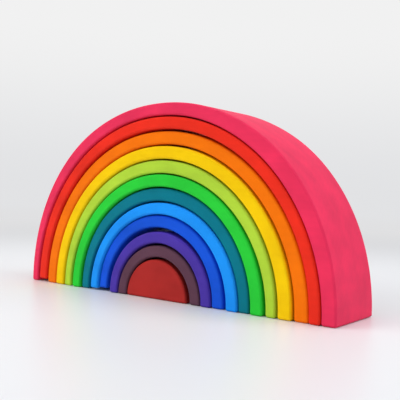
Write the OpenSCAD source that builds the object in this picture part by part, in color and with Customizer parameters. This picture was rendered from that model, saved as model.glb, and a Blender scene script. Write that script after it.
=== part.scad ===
// Rainbow stacker: nested wooden arches around a solid half-round core.
// Every piece is sawn from one block, so neighbours are a saw cut apart, and
// every edge is sanded round. The pieces are loose: each stands on its own
// feet, a little aside of the next and a little in front of it or behind it.
// A few have a shorter left leg, whose foot stays just above the table.
// X runs along the length, Y from front to back and Z up. The origin lies on
// the table, in the middle of the outermost arch.

/* [Core] */
// Radius of the solid half-round in the middle
core_radius = 36.9; // [20:0.1:60]

/* [Arches] */
// Usual thickness of an arch
arch_wall = 11.4; // [8:0.1:20]
// Usual saw cut between two neighbouring pieces
saw_kerf = 2; // [0.8:0.1:3]
// Depth of every piece from its front face to its back face
block_depth = 72; // [40:1:120]
// Height of the outermost arc's centre above the table
leg_rise = 3; // [0.5:0.1:4]

/* [Sanding] */
// Radius of the sanded edges along the arcs
edge_radius = 2.5; // [1:0.1:4]
// Radius of the sanded edges under the feet
foot_radius = 2.5; // [1:0.1:4]

/* [Hidden] */
// All tables of shares run from the outermost piece to the core.
// Thickness of each arch, in usual thicknesses
wall_shares = [1.12, 1.00, 1.06, 1.05, 0.97, 1.02, 0.98, 0.96, 1.00, 0.94, 0.96];
// Saw cut on the inside of each arch, in usual saw cuts
kerf_shares = [0.70, 0.65, 1.10, 0.90, 0.95, 0.85, 0.85, 1.30, 1.15, 0.65, 1.20];
// How far each piece stands to the right of the middle, in usual saw cuts
aside_shares = [0, -0.3, 0.15, 0.6, -0.05, 0.3, -0.1, 0.3, -0.65, 0.05, -0.25, -1.15];
// How far each piece stands in front of the outermost one, in usual saw cuts
forward_shares = [0, 0.3, -0.2, 0.4, 0.2, 0.5, -0.3, 0.5, -0.5, 0.3, -0.1, -0.4];
// How far each arc's centre lies under the outermost one's, in usual saw cuts
sink_shares = [0, 0.1, 0.6, 0.15, 0.2, -0.15, 0.4, 0.6, 0.1, 0.7, 1.2, 1.25];
// How far each left foot stays above the table, in leg rises
left_lift_shares = [0, 1, 0, 0, 0, 0, 0, 0.6, 1, 0, 0, 0];

// Straight strokes of the sander that round an edge under a foot
foot_strokes = 4;
// Reach of every cut past the wood
overrun = 1;
// Fineness of the arcs
$fn = 144;

// Sum of a list from one of its items to its end
function sum_from(list, i) = i < len(list) ? list[i] + sum_from(list, i + 1) : 0;

// Inner radius of a piece, counted from the outside, with the core as the last
function inner_radius(i) = i < len(wall_shares)
  ? core_radius + arch_wall * sum_from(wall_shares, i + 1) + saw_kerf * sum_from(kerf_shares, i)
  : 0;

// Outer radius of a piece
function outer_radius(i) = i < len(wall_shares)
  ? inner_radius(i) + arch_wall * wall_shares[i]
  : core_radius;

// What the sander takes off a square edge along an arc, as a section
module arc_edge_waste() {
  difference() {
    translate([-overrun, -overrun]) square(overrun + edge_radius);
    translate([edge_radius, edge_radius]) circle(edge_radius);
  }
}

// What it takes off an edge under a foot, as a section with straight strokes
module foot_edge_waste() {
  polygon(concat(
    [[-overrun, foot_radius], [-overrun, -overrun], [foot_radius, -overrun]],
    [for (stroke = [0 : foot_strokes])
      let (turn = 90 * stroke / foot_strokes)
      foot_radius * [1 - sin(turn), 1 - cos(turn)]]
  ));
}

// Section through a piece, with its radius to the right and its depth upwards
module rounded_section(inner, outer) {
  difference() {
    translate([inner, -block_depth / 2]) square([outer - inner, block_depth]);
    for (back = [0, 1]) mirror([0, back]) translate([0, -block_depth / 2]) {
      translate([outer, 0]) mirror([1, 0]) arc_edge_waste();
      if (inner > 0) translate([inner, 0]) arc_edge_waste();
    }
  }
}

// What the saw takes off below a height, from far on the left to right_end
module sawn_waste(outer, right_end, height) {
  translate([-2 * outer, -block_depth, -2 * outer])
    cube([2 * outer + right_end, 2 * block_depth, 2 * outer + height]);
}

// What the sander takes off around a right foot that ends at height 0
module foot_waste(inner, outer) {
  translate([outer, 0, 0]) mirror([1, 0, 0]) rotate([90, 0, 0])
    linear_extrude(2 * block_depth, center = true) foot_edge_waste();
  if (inner > 0) translate([inner, 0, 0]) rotate([90, 0, 0])
    linear_extrude(2 * block_depth, center = true) foot_edge_waste();
  for (back = [0, 1]) mirror([0, back, 0])
    translate([inner / 2, -block_depth / 2, 0]) rotate([90, 0, 90])
      linear_extrude(2 * outer) foot_edge_waste();
}

// One piece of the nest: a turned ring, cut off at its feet
module piece(i) {
  inner = inner_radius(i);
  outer = outer_radius(i);
  lift = left_lift_shares[i] * leg_rise;
  translate([aside_shares[i] * saw_kerf, -forward_shares[i] * saw_kerf, 0])
    difference() {
      translate([0, 0, leg_rise - sink_shares[i] * saw_kerf]) rotate([90, 0, 0])
        rotate_extrude() rounded_section(inner, outer);
      sawn_waste(outer, 2 * outer, 0);
      if (lift > 0) sawn_waste(outer, -inner / 2, lift);
      foot_waste(inner, outer);
      translate([0, 0, lift]) mirror([1, 0, 0]) foot_waste(inner, outer);
    }
}

module pink_arch() { color("#f03a5a") piece(0); }
module red_arch() { color("#ee382a") piece(1); }
module orange_arch() { color("#fe7a14") piece(2); }
module yellow_arch() { color("#fcca14") piece(3); }
module lime_arch() { color("#b1d644") piece(4); }
module green_arch() { color("#34cf44") piece(5); }
module teal_arch() { color("#12788c") piece(6); }
module sky_arch() { color("#2a96fc") piece(7); }
module blue_arch() { color("#215ad8") piece(8); }
module purple_arch() { color("#503ea3") piece(9); }
module plum_arch() { color("#614152") piece(10); }
module core_block() { color("#ac302e") piece(11); }

pink_arch();
red_arch();
orange_arch();
yellow_arch();
lime_arch();
green_arch();
teal_arch();
sky_arch();
blue_arch();
purple_arch();
plum_arch();
core_block();
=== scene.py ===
# %% [markdown]
# Rainbow stacker
#
# This lesson dresses a nest of wooden arches. All of them are sawn from one
# block of lime wood, sanded round on every edge, stained in bright colours and
# rubbed with oil. The frame holds each piece at its real size, as a plain
# solid on a body of its own. Here every piece is shaped again with the small
# faults of hand work, and gets a stain that lets the grain through.

# %% Load the frame
import math

import bmesh
import bpy
import numpy as np
from mathutils import Matrix, Vector, noise


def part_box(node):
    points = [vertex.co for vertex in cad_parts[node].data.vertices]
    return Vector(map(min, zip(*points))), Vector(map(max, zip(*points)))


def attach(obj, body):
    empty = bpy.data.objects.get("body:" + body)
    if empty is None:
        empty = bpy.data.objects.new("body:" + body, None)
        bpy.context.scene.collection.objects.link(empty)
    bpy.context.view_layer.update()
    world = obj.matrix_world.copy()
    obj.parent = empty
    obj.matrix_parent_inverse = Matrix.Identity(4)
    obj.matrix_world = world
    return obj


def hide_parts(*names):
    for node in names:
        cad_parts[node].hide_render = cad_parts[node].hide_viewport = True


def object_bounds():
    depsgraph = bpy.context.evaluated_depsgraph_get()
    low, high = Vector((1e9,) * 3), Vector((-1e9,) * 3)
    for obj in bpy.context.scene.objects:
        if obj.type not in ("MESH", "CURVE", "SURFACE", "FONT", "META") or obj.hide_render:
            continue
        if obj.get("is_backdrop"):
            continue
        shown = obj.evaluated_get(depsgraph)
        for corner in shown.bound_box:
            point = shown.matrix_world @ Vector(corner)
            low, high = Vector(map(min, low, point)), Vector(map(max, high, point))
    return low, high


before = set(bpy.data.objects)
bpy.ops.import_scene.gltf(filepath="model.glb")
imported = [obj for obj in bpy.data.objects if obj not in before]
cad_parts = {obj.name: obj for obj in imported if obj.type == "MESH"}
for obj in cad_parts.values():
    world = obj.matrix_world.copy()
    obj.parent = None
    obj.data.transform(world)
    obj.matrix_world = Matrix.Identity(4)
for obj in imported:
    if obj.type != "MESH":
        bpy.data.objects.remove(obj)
cad_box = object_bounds()

# %% [markdown]
# The camera comes first, because every later choice is judged through it. It
# stands low, to the right of the nest, and looks almost level, so the inside
# of the arches stays hidden and only the right leg of the outermost arch shows
# its curved back. The picture leans by not quite two degrees, as a photograph
# from the hand does, and turning the camera about its own line of sight gives
# the same lean.

# %% Camera
MM = 0.001
FRAME_PIXELS = 400
FOCAL_PIXELS = 650.7
VIEW_TURN = math.radians(37.1)
VIEW_RISE = math.radians(0.463)
VIEW_LEAN = math.radians(1.86)
VIEW_DISTANCE = 627.9 * MM
VIEW_TARGET = Vector((19.82, 0, 94.93)) * MM
NEAREST_SEEN = 10 * MM


def aimed(target, turn, rise, distance, lean):
    """A camera's placing: turned round the target, raised above it, and leaning."""
    back = Vector((math.sin(turn) * math.cos(rise), -math.cos(turn) * math.cos(rise), math.sin(rise)))
    right = Vector((0, 0, 1)).cross(back).normalized()
    up = back.cross(right)
    leaning_right = right * math.cos(lean) + up * math.sin(lean)
    leaning_up = up * math.cos(lean) - right * math.sin(lean)
    axes = Matrix((leaning_right, leaning_up, back)).transposed()
    return Matrix.Translation(target + back * distance) @ axes.to_4x4()


camera = bpy.data.objects.new("camera", bpy.data.cameras.new("camera"))
camera.data.lens = camera.data.sensor_width * FOCAL_PIXELS / FRAME_PIXELS
camera.data.clip_start = NEAREST_SEEN
camera.matrix_world = aimed(VIEW_TARGET, VIEW_TURN, VIEW_RISE, VIEW_DISTANCE, VIEW_LEAN)
bpy.context.scene.collection.objects.link(camera)
bpy.context.scene.camera = camera
print("camera: lens", round(camera.data.lens, 1), "mm")

# %% [markdown]
# Each solid in the frame is a ring cut off at its feet. Its front and back
# rims lie on true circles, so a circle through the rim's points gives the
# place of the arc's centre and its radius. Measuring keeps this script in step
# with the frame: if an arch grows thicker there, it does so here. Some left
# legs are shorter, so the height of the left foot is measured too.

# %% Measure the pieces in the frame
PIECES = ["pink", "red", "orange", "yellow", "lime", "green", "teal", "sky", "blue", "purple", "plum", "core"]
OUTERMOST, CORE = PIECES[0], PIECES[-1]
FRAME_ROUND = 2.5 * MM
FOOT_ZONE = 3 * FRAME_ROUND
RIM_TOLERANCE = 0.05 * MM


def node_name(piece):
    """The frame's name for a piece."""
    return piece + ("_block" if piece == CORE else "_arch")


def circle_through(points):
    """Centre and radius of the circle that fits points given as rows of x and z."""
    rows = np.column_stack((2 * points, np.ones(len(points))))
    x, z, rest = np.linalg.lstsq(rows, (points ** 2).sum(axis=1), rcond=None)[0]
    return x, z, math.sqrt(rest + x * x + z * z)


def measure(piece):
    """Sizes of one piece: its arc's centre and radii, its front and back, its left foot's height."""
    low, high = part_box(node_name(piece))
    corners = np.array([vertex.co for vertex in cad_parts[node_name(piece)].data.vertices])
    on_rim = np.abs(corners[:, 1] - (low.y + FRAME_ROUND)) < RIM_TOLERANCE
    above_feet = corners[:, 2] > FOOT_ZONE
    rim = corners[on_rim & above_feet][:, [0, 2]]
    middle = np.array(((low.x + high.x) / 2, 0))
    reach = np.linalg.norm(rim - middle, axis=1)
    x, z, outer = circle_through(rim[reach > reach.max() - FRAME_ROUND])
    inner = np.linalg.norm(rim - (x, z), axis=1).min() if piece != CORE else 0
    lift = corners[corners[:, 0] < x][:, 2].min()
    return {"x": x, "z": z, "outer": outer, "inner": inner, "front": low.y, "back": high.y, "lift": lift}


sizes = {piece: measure(piece) for piece in PIECES}
for piece, size in sizes.items():
    print(piece, {name: round(value / MM, 2) for name, value in size.items()}, "mm")

# %% [markdown]
# No cut by hand is a perfect circle. The photograph shows it best at the feet:
# one leg is thicker than the other, and some legs are thinner than the crown.
# For each piece this table gives two cuts, the outline and the bore, and for
# each cut three amounts in millimetres: how far it stands aside, how much wider
# its curve is, and how much higher at the crown. The outermost arch also has a
# flat crown and full shoulders, which a wave with four crests per turn draws.

# %% Hand work
HAND_WORK = {
    "pink": ((0, 0, 0), (-2, 0.5, 0)),
    "red": ((0, 0, 0), (0.5, 0.5, 0)),
    "orange": ((0, 1, 0), (0, 0, 0)),
    "yellow": ((-1, 0.5, -0.5), (-1.5, 0, -0.5)),
    "lime": ((-0.5, 0, 0), (-0.5, 1.5, -1)),
    "green": ((-1, 0.5, -1), (-1.5, 0.5, -1)),
    "teal": ((-0.5, 0.5, 0.5), (-1, 1, -0.5)),
    "sky": ((0, 0.5, 0), (-1, 0.5, 0)),
    "blue": ((-0.5, 0.5, 0.5), (-1.5, 0.5, 0.5)),
    "purple": ((-0.5, 0, 0), (-1, 0, 0)),
    "plum": ((-0.5, 0.5, 0), (-1, 0, 0)),
    "core": ((-1, 0, 0), (0, 0, 0)),
}
FULL_SHOULDERS = 1.1 * MM
CRESTS_PER_TURN = 4


class Cut:
    """One curved cut of the saw, from the right foot of a piece over its crown to the left foot."""

    def __init__(self, size, radius, work, shoulders=0):
        aside, wider, higher = [amount * MM for amount in work]
        self.x = size["x"] + aside
        self.z = size["z"] - wider + higher
        self.radius = radius + wider
        self.shoulders = shoulders
        at_foot = self.radius - shoulders
        self.start = math.asin(-self.z / at_foot)
        self.end = math.pi - math.asin((size["lift"] - self.z) / at_foot)

    def at(self, share):
        """The x and z of the cut after this share of its way."""
        turn = self.start + share * (self.end - self.start)
        reach = self.radius - self.shoulders * math.cos(CRESTS_PER_TURN * turn)
        return self.x + reach * math.cos(turn), self.z + reach * math.sin(turn)


def cuts(piece):
    """The outline and the bore of a piece."""
    size = sizes[piece]
    outline_work, bore_work = HAND_WORK[piece]
    outline = Cut(size, size["outer"], outline_work, FULL_SHOULDERS if piece == OUTERMOST else 0)
    bore = Cut(size, size["inner"], bore_work) if piece != CORE else None
    return outline, bore


print("outlines:", {piece: round(cuts(piece)[0].radius / MM, 1) for piece in PIECES}, "mm in radius")

# %% [markdown]
# The blade of a band saw also wanders a little. It is straight, though, and
# goes through the whole depth: a cut wanders the same way at the front as at
# the back, and both its sides follow it. A field of smooth noise that depends
# only on x and z gives just that. Neighbours shift alike, so they still nest
# and slide out freely.

# %% Saw wander
WANDER = 0.3 * MM
WANDER_WAVES_PER_METRE = 16


def wander(mesh, size):
    """Moves every point towards or away from the arc's centre, as the saw did."""
    for point in mesh.verts:
        spoke = Vector((point.co.x - size["x"], 0, point.co.z - size["z"]))
        place = Vector((point.co.x, 0, point.co.z)) * WANDER_WAVES_PER_METRE
        point.co += spoke.normalized() * noise.noise(place) * WANDER


print("saw wander: at most about", round(WANDER / MM, 1), "mm")

# %% [markdown]
# An arch could be an extruded outline, but a spin says better how it is made:
# one oblong section goes over from the right foot to the left and leaves the
# wood behind it. Its first and last faces are the feet. The spin goes round in
# a plain half turn, and each of its rings is then set on the two sawn cuts. A
# step is longer than the later rounding of the edges, which needs that room at
# the feet.

# %% Shape an arch
ARC_STEP = 3.6 * MM


def steps_along(radius):
    """How many steps a half turn takes."""
    return math.ceil(math.pi * radius / ARC_STEP)


def spin_arch(mesh, piece):
    """An oblong section, spun over from foot to foot and set on the cuts."""
    size = sizes[piece]
    outline, bore = cuts(piece)
    centre = Vector((size["x"], 0, size["z"]))
    corners = []
    for radius, y in (("inner", "front"), ("outer", "front"), ("outer", "back"), ("inner", "back")):
        corners.append(mesh.verts.new((size["x"] + size[radius], size[y], size["z"])))
    section = mesh.faces.new(corners)
    bmesh.ops.spin(
        mesh, geom=[section], cent=centre, axis=(0, -1, 0), angle=math.pi, steps=steps_along(size["inner"]))
    middle = (size["outer"] + size["inner"]) / 2
    for point in mesh.verts:
        spoke = point.co - centre
        cut = outline if math.hypot(spoke.x, spoke.z) > middle else bore
        point.co.x, point.co.z = cut.at(abs(math.atan2(spoke.z, spoke.x)) / math.pi)


print("steps over the arches:", {piece: steps_along(sizes[piece]["inner"]) for piece in PIECES[:-1]})

# %% [markdown]
# The core has no inside to spin round. Its face is drawn as one outline, over
# the round and back along the table, and then drawn out to the depth of the
# nest.

# %% Shape the core
def stand_core(mesh, piece):
    """A half-round face, drawn out to its depth."""
    size = sizes[piece]
    outline, _ = cuts(piece)
    steps = steps_along(size["outer"])
    corners = []
    for step in range(steps + 1):
        x, z = outline.at(step / steps)
        corners.append(mesh.verts.new((x, size["front"], z)))
    face = mesh.faces.new(corners)
    drawn = bmesh.ops.extrude_face_region(mesh, geom=[face])
    moved = [item for item in drawn["geom"] if isinstance(item, bmesh.types.BMVert)]
    bmesh.ops.translate(mesh, verts=moved, vec=(0, size["back"] - size["front"], 0))


print("steps over the core:", steps_along(sizes[CORE]["outer"]))

# %% [markdown]
# Sanding takes every square edge away. A bevel along all edges sharper than
# half a right angle does the same at once, feet included, and the points inside
# each rounding are marked: cut fibres drink more stain there, and the same mark
# also paints the shade that falls on the roundings and in the grooves between
# the arches.
# Smooth shading would also bend the light on the flat faces, so a Weighted
# Normal modifier lets the large faces set the direction of their borders.

# %% Sand the edges
SHARP = math.radians(45)
EDGE_ROUND = 2.1 * MM
ROUNDING_STEPS = 5
ROUND_PROFILE = 0.5
# The mark of the roundings: deeper stain there, and painted shade for the roundings and grooves.
EDGE_STAIN_AND_SHADE = "edge_stain_and_shade_mark"


def sand(mesh):
    """Rounds every sharp edge and marks the points inside a rounding, for deeper stain and painted shade."""
    bmesh.ops.recalc_face_normals(mesh, faces=mesh.faces[:])
    edges = [edge for edge in mesh.edges if edge.calc_face_angle(0) > SHARP]
    rounded = bmesh.ops.bevel(
        mesh, geom=edges, offset=EDGE_ROUND, offset_type="OFFSET", segments=ROUNDING_STEPS,
        profile=ROUND_PROFILE, affect="EDGES", clamp_overlap=True, material=-1)
    roundings = set(rounded["faces"])
    stained_and_shaded = mesh.verts.layers.float.new(EDGE_STAIN_AND_SHADE)
    for vertex in mesh.verts:
        vertex[stained_and_shaded] = float(all(face in roundings for face in vertex.link_faces))
    for face in mesh.faces:
        face.smooth = True


def shaped(piece):
    """The finished object of one piece, in the frame's place for it."""
    mesh = bmesh.new()
    (stand_core if piece == CORE else spin_arch)(mesh, piece)
    sand(mesh)
    wander(mesh, sizes[piece])
    data = bpy.data.meshes.new(piece + "_wood")
    mesh.to_mesh(data)
    mesh.free()
    made = bpy.data.objects.new(piece + "_wood", data)
    bpy.context.scene.collection.objects.link(made)
    made.modifiers.new("even light on flat faces", "WEIGHTED_NORMAL")
    return made


print("edges: rounded by", round(EDGE_ROUND / MM, 1), "mm in", ROUNDING_STEPS, "steps")

# %% [markdown]
# Shader maths reads best as plain sums. This class wraps the output of a shader
# node, turns + - and * into Math nodes, and makes any other node with one
# method: first its settings, then the values or links of its inputs. A Mix node
# has sockets of the same name for numbers, vectors and colours, so the colour
# ones are taken by their places.

# %% A shader's signal
MIX_AMOUNT, MIX_FIRST, MIX_SECOND, MIX_COLOUR = 0, 6, 7, 2


class Signal:
    """One output in a shader's node tree."""

    def __init__(self, tree, socket=None):
        self.tree = tree
        self.socket = socket

    def node(self, kind, settings=None, inputs=None, output=0):
        """Adds a node, sets it up, feeds it, and returns one of its outputs."""
        added = self.tree.nodes.new(kind)
        for name, value in (settings or {}).items():
            setattr(added, name, value)
        for name, value in (inputs or {}).items():
            if isinstance(value, Signal):
                self.tree.links.new(value.socket, added.inputs[name])
            else:
                added.inputs[name].default_value = value
        return Signal(self.tree, added.outputs[output])

    def maths(self, operation, *values):
        """A Math node over these values."""
        return self.node("ShaderNodeMath", {"operation": operation}, dict(enumerate(values)))

    def __add__(self, other):
        return self.maths("ADD", self, other)

    def __radd__(self, other):
        return self.maths("ADD", other, self)

    def __sub__(self, other):
        return self.maths("SUBTRACT", self, other)

    def __mul__(self, other):
        return self.maths("MULTIPLY", self, other)

    def __rmul__(self, other):
        return self.maths("MULTIPLY", other, self)

    def between(self, low, high):
        """0 up to low, 1 from high on, and a soft rise in between."""
        return self.node(
            "ShaderNodeMapRange", {"interpolation_type": "SMOOTHSTEP"},
            {"Value": self, "From Min": low, "From Max": high})

    def noise(self, place, stretch, detail=2.0, roughness=0.5):
        """Smooth noise over a place, with its own number of waves per metre along each axis."""
        waves = self.node("ShaderNodeVectorMath", {"operation": "MULTIPLY"}, {0: place, 1: stretch})
        return self.node(
            "ShaderNodeTexNoise", {},
            {"Vector": waves, "Scale": 1.0, "Detail": detail, "Roughness": roughness})

    def blend(self, amount, first, second):
        """A colour between two colours."""
        return self.node(
            "ShaderNodeMix", {"data_type": "RGBA"},
            {MIX_AMOUNT: amount, MIX_FIRST: first, MIX_SECOND: second}, output=MIX_COLOUR)


print("a signal can make:", [name for name in vars(Signal) if not name.startswith("_")])

# %% [markdown]
# All pieces come from one block, and its grain runs along its length. So one
# pattern in the block's own space fits them all: growth rings round a heart
# below and behind the block, fibres drawn out along x, short dark pores, and
# clouds and smaller blotches where the wood drinks more stain. End grain, on the
# outside of the legs, drinks more too. Everything is faint, because lime is a
# quiet wood. Waves are counted per metre along x, y and z.

# %% Grain of the block
HEART_Y, HEART_Z = 130 * MM, -90 * MM
RING_PITCH = 4.2 * MM
RING_DRIFT, DRIFT_WAVES = 4 * RING_PITCH, (5, 18, 18)
CLOUD_SHARE, CLOUD_WAVES = 1.5, (14, 30, 30)
BLOTCH_SHARE, BLOTCH_WAVES = 1.1, (40, 55, 55)
FIBRE_SHARE, FIBRE_WAVES = 0.12, (40, 1100, 1100)
PORE_SHARE, PORE_WAVES, PORE_FROM, PORE_FULL = 0.1, (160, 1500, 1500), 0.66, 0.76
RING_SHARE = 0.06
END_GRAIN_SHARE = 0.06
DRY_SHARE = 0.92


def growth_rings(start, place):
    """From 0 to 1 and back over each year's growth."""
    across = start.node("ShaderNodeSeparateXYZ", {}, {0: place}, output="Y") - HEART_Y
    height = start.node("ShaderNodeSeparateXYZ", {}, {0: place}, output="Z") - HEART_Z
    drift = start.noise(place, DRIFT_WAVES) * RING_DRIFT
    from_heart = start.maths("SQRT", across * across + height * height) + drift
    return start.maths("SINE", from_heart * (2 * math.pi / RING_PITCH)) * 0.5 + 0.5


def grain(start, place):
    """How much stain the wood drinks, its fibres and its pores."""
    clouds = start.noise(place, CLOUD_WAVES, detail=3)
    blotches = start.noise(place, BLOTCH_WAVES)
    fibres = start.noise(place, FIBRE_WAVES, detail=3, roughness=0.6)
    pores = start.noise(place, PORE_WAVES, detail=1).between(PORE_FROM, PORE_FULL)
    facing = start.node("ShaderNodeNewGeometry", output="Normal")
    along = start.node("ShaderNodeSeparateXYZ", {}, {0: facing}, output="X")
    drunk = CLOUD_SHARE * clouds + BLOTCH_SHARE * blotches - DRY_SHARE
    drunk = drunk + RING_SHARE * growth_rings(start, place) + FIBRE_SHARE * fibres
    drunk = drunk + END_GRAIN_SHARE * (along * along) + PORE_SHARE * pores
    return drunk, fibres, pores


print("growth rings:", round(RING_PITCH / MM, 1), "mm apart")

# %% [markdown]
# The stain lies in the wood and not on it, so it is a tone between a pale and a
# deep one, by how much the wood drank. Sanded edges are deeper, in patches: in
# part stain that the cut fibres drank, in part painted shade for the roundings
# and the grooves between the arches. The oil leaves a dull sheen, rougher along
# the fibres, and fibres and pores can just be felt, which a faint bump gives.

# %% Stained wood
# The edge tone is deeper stain and painted shade in one.
PALE_TONE, DEEP_TONE, EDGE_STAIN_AND_SHADE_TONE = 1.10, 0.84, 0.82
EDGE_STAIN_AND_SHADE_SHARE, EDGE_WAVES, EDGE_FROM, EDGE_FULL = 0.5, (60, 60, 60), 0.2, 0.7
OIL_ROUGHNESS, FIBRE_ROUGHNESS = 0.45, 0.2
OIL_GLOSS = 0.12
FIBRE_RISE, PORE_SINK = 0.6, 0.5
FEEL_STRENGTH, FEEL_DEPTH = 0.05, 0.3 * MM


def shade(colour, factor):
    """A lighter or deeper tone of a colour."""
    return tuple(min(1, part * factor) for part in colour[:3]) + (1,)


def stained_wood(name, colour):
    """A stain of this colour over the block's grain."""
    material = bpy.data.materials.new(name)
    material.use_nodes = True
    tree = material.node_tree
    start = Signal(tree)
    place = start.node("ShaderNodeTexCoord", output="Object")
    drunk, fibres, pores = grain(start, place)
    stain = start.blend(drunk, shade(colour, PALE_TONE), shade(colour, DEEP_TONE))
    # Roundings get a deeper tone in patches, in part stain and in part painted shade.
    patches = start.noise(place, EDGE_WAVES, detail=4, roughness=0.7).between(EDGE_FROM, EDGE_FULL)
    stained_and_shaded = start.node("ShaderNodeAttribute", {"attribute_name": EDGE_STAIN_AND_SHADE}, output="Fac") * patches
    stain_with_edge_shade = start.blend(EDGE_STAIN_AND_SHADE_SHARE * stained_and_shaded, stain, shade(colour, EDGE_STAIN_AND_SHADE_TONE))
    feel = FIBRE_RISE * fibres - PORE_SINK * pores
    bump = start.node(
        "ShaderNodeBump", {}, {"Strength": FEEL_STRENGTH, "Distance": FEEL_DEPTH, "Height": feel})
    shader = tree.nodes["Principled BSDF"]
    tree.links.new(stain_with_edge_shade.socket, shader.inputs["Base Color"])
    tree.links.new((OIL_ROUGHNESS + FIBRE_ROUGHNESS * fibres).socket, shader.inputs["Roughness"])
    tree.links.new(bump.socket, shader.inputs["Normal"])
    shader.inputs["Specular IOR Level"].default_value = OIL_GLOSS
    return material


print("stain: tones from", DEEP_TONE, "to", PALE_TONE, "of a colour, on sanded edges", EDGE_STAIN_AND_SHADE_TONE)

# %% [markdown]
# Now the nest itself: twelve pieces from one loop, each with its stain. A piece
# rides on its own body, so it slides out with its joint, and it stands for the
# plain solid of the same name.

# %% Make the pieces
def srgb(red, green, blue):
    """A colour as a shader takes it, from the usual 0 to 255 scale."""
    def linear(value):
        share = value / 255
        return share / 12.92 if share <= 0.04045 else ((share + 0.055) / 1.055) ** 2.4
    return (linear(red), linear(green), linear(blue), 1)


STAINS = {
    "pink": srgb(236, 50, 90),
    "red": srgb(238, 46, 28),
    "orange": srgb(255, 118, 0),
    "yellow": srgb(255, 204, 0),
    "lime": srgb(178, 216, 60),
    "green": srgb(42, 208, 58),
    "teal": srgb(0, 120, 138),
    "sky": srgb(26, 150, 255),
    "blue": srgb(18, 86, 218),
    "purple": srgb(76, 54, 164),
    "plum": srgb(94, 60, 76),
    "core": srgb(174, 42, 38),
}

for piece in PIECES:
    made = shaped(piece)
    made.data.materials.append(stained_wood(piece + "_stain", STAINS[piece]))
    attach(made, node_name(piece))
    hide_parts(node_name(piece))
    piece + "_stain"
    print(made.name, len(made.data.vertices), "points")

# %% [markdown]
# The nest stands on a smooth pale table. It is a large disc whose finish is a
# little glossy, so that the feet show as soft coloured streaks in it. Away from
# the nest the table's colour turns darker, a painted shade for the dimmer light
# there, and then it fades into the pale of the room behind, so that no horizon
# shows. Each change has a distance from the nest, in metres, where it starts, and
# one where it ends.

# %% Table
TABLE_RADIUS = 12.0
TABLE_SIDES = 96
TABLE_DROP = 0.1 * MM
TABLE_ROUGHNESS = 0.34
TABLE_GLOSS = 0.16
TABLE_COLOUR = (0.76, 0.775, 0.755, 1)
PAINTED_SHADE_TABLE = (0.60, 0.61, 0.60, 1)
FAR_TABLE = (0.745, 0.745, 0.755, 1)
ROOM_LOW = (0.76, 0.765, 0.78, 1)
PAINTED_SHADE_FROM, PAINTED_SHADE_TO = 0.25, 1.0
FADE_FROM, FADE_TO = 0.4, 1.6
ROOM_FROM, ROOM_TO = 1.2, 4.0


def table_finish():
    """Pale satin lacquer, darker away from the nest as painted shade, that fades into the room."""
    material = bpy.data.materials.new("table_lacquer")
    material.use_nodes = True
    tree = material.node_tree
    start = Signal(tree)
    place = start.node("ShaderNodeTexCoord", output="Object")
    away = start.node("ShaderNodeVectorMath", {"operation": "LENGTH"}, {0: place}, output="Value")
    lacquer = tree.nodes["Principled BSDF"]
    # The base colour darkens away from the nest: painted shade.
    colour = start.blend(away.between(PAINTED_SHADE_FROM, PAINTED_SHADE_TO), TABLE_COLOUR, PAINTED_SHADE_TABLE)
    tree.links.new(colour.socket, lacquer.inputs["Base Color"])
    lacquer.inputs["Roughness"].default_value = TABLE_ROUGHNESS
    lacquer.inputs["Specular IOR Level"].default_value = TABLE_GLOSS
    tone = start.blend(away.between(ROOM_FROM, ROOM_TO), FAR_TABLE, ROOM_LOW)
    room = start.node("ShaderNodeEmission", {}, {"Color": tone})
    fade = away.between(FADE_FROM, FADE_TO)
    both = start.node("ShaderNodeMixShader", {}, {0: fade, 1: Signal(tree, lacquer.outputs[0]), 2: room})
    tree.links.new(both.socket, tree.nodes["Material Output"].inputs["Surface"])
    return material


disc = bmesh.new()
bmesh.ops.create_circle(disc, cap_ends=True, segments=TABLE_SIDES, radius=TABLE_RADIUS)
table_mesh = bpy.data.meshes.new("table")
disc.to_mesh(table_mesh)
disc.free()
table = bpy.data.objects.new("table", table_mesh)
table.location.z = -TABLE_DROP
table.data.materials.append(table_finish())
bpy.context.scene.collection.objects.link(table)
table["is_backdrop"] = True
print("table: radius", TABLE_RADIUS, "m")

# %% [markdown]
# The light is that of a bright white room: soft from all sides, with three
# large softboxes, and a little cooler from the right and from above. The room's
# own pale shows behind the nest, and in what mirrors it, while the strength of
# its light is set apart. The softboxes stay out of every gloss, because a table
# that mirrors one turns plain white. Each has a place and a side in metres, a
# power in watts and a tint.

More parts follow.
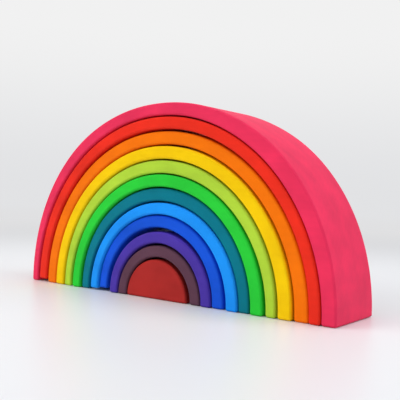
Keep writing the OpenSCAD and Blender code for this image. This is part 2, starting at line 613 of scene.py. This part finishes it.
# %% Light
ROOM_LIGHT = 0.30
ROOM_HIGH = (0.88, 0.88, 0.88, 1)
ROOM_HIGH_FROM = 0.25
SOFTBOXES = {
    "left": ((-2.3, -2.5, 1.5), 3.0, 85.0, (1.0, 1.0, 1.0)),
    "right": ((2.7, 0.6, 2.1), 3.0, 55.0, (1.0, 0.98, 1.15)),
    "top": ((0.0, -0.3, 3.3), 3.2, 63.0, (1.0, 1.0, 1.09)),
}


def room_world():
    """A pale room: one tone for the eye and for mirrors, another as a light."""
    world = bpy.data.worlds.new("pale_room")
    world.use_nodes = True
    tree = world.node_tree
    start = Signal(tree)
    rays = tree.nodes.new("ShaderNodeLightPath")
    seen = Signal(tree, rays.outputs["Is Camera Ray"])
    for kind in ("Is Glossy Ray", "Is Transmission Ray"):
        seen = start.maths("MAXIMUM", seen, Signal(tree, rays.outputs[kind]))
    light = start.node("ShaderNodeBackground", {}, {"Color": (1, 1, 1, 1), "Strength": ROOM_LIGHT})
    look = start.node("ShaderNodeTexCoord", output="Generated")
    rise = start.node("ShaderNodeSeparateXYZ", {}, {0: look}, output="Z")
    tone = start.blend(rise.between(0.0, ROOM_HIGH_FROM), ROOM_LOW, ROOM_HIGH)
    pale = start.node("ShaderNodeBackground", {}, {"Color": tone, "Strength": 1.0})
    both = start.node("ShaderNodeMixShader", {}, {0: seen, 1: light, 2: pale})
    tree.links.new(both.socket, tree.nodes["World Output"].inputs["Surface"])
    return world


bpy.context.scene.world = room_world()
for name, (place, side, watts, tint) in SOFTBOXES.items():
    lamp = bpy.data.objects.new(name, bpy.data.lights.new(name, "AREA"))
    lamp.data.size = side
    lamp.data.energy = watts
    lamp.data.color = tint
    lamp.visible_glossy = False
    lamp.location = place
    lamp.rotation_euler = (VIEW_TARGET - Vector(place)).to_track_quat("-Z", "Y").to_euler()
    bpy.context.scene.collection.objects.link(lamp)
bpy.context.scene.view_settings.view_transform = "Standard"
print("light: room", ROOM_LIGHT, "and softboxes", list(SOFTBOXES))

# %% [markdown]
# Last come the two boxes that show whether the dressed nest has kept to the
# frame's size.

# %% Sizes and finish
boxes = {"cad": cad_box, "visual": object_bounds()}
for name, box in boxes.items():
    print(name, [round(value / MM, 1) for corner in box for value in corner], "mm")
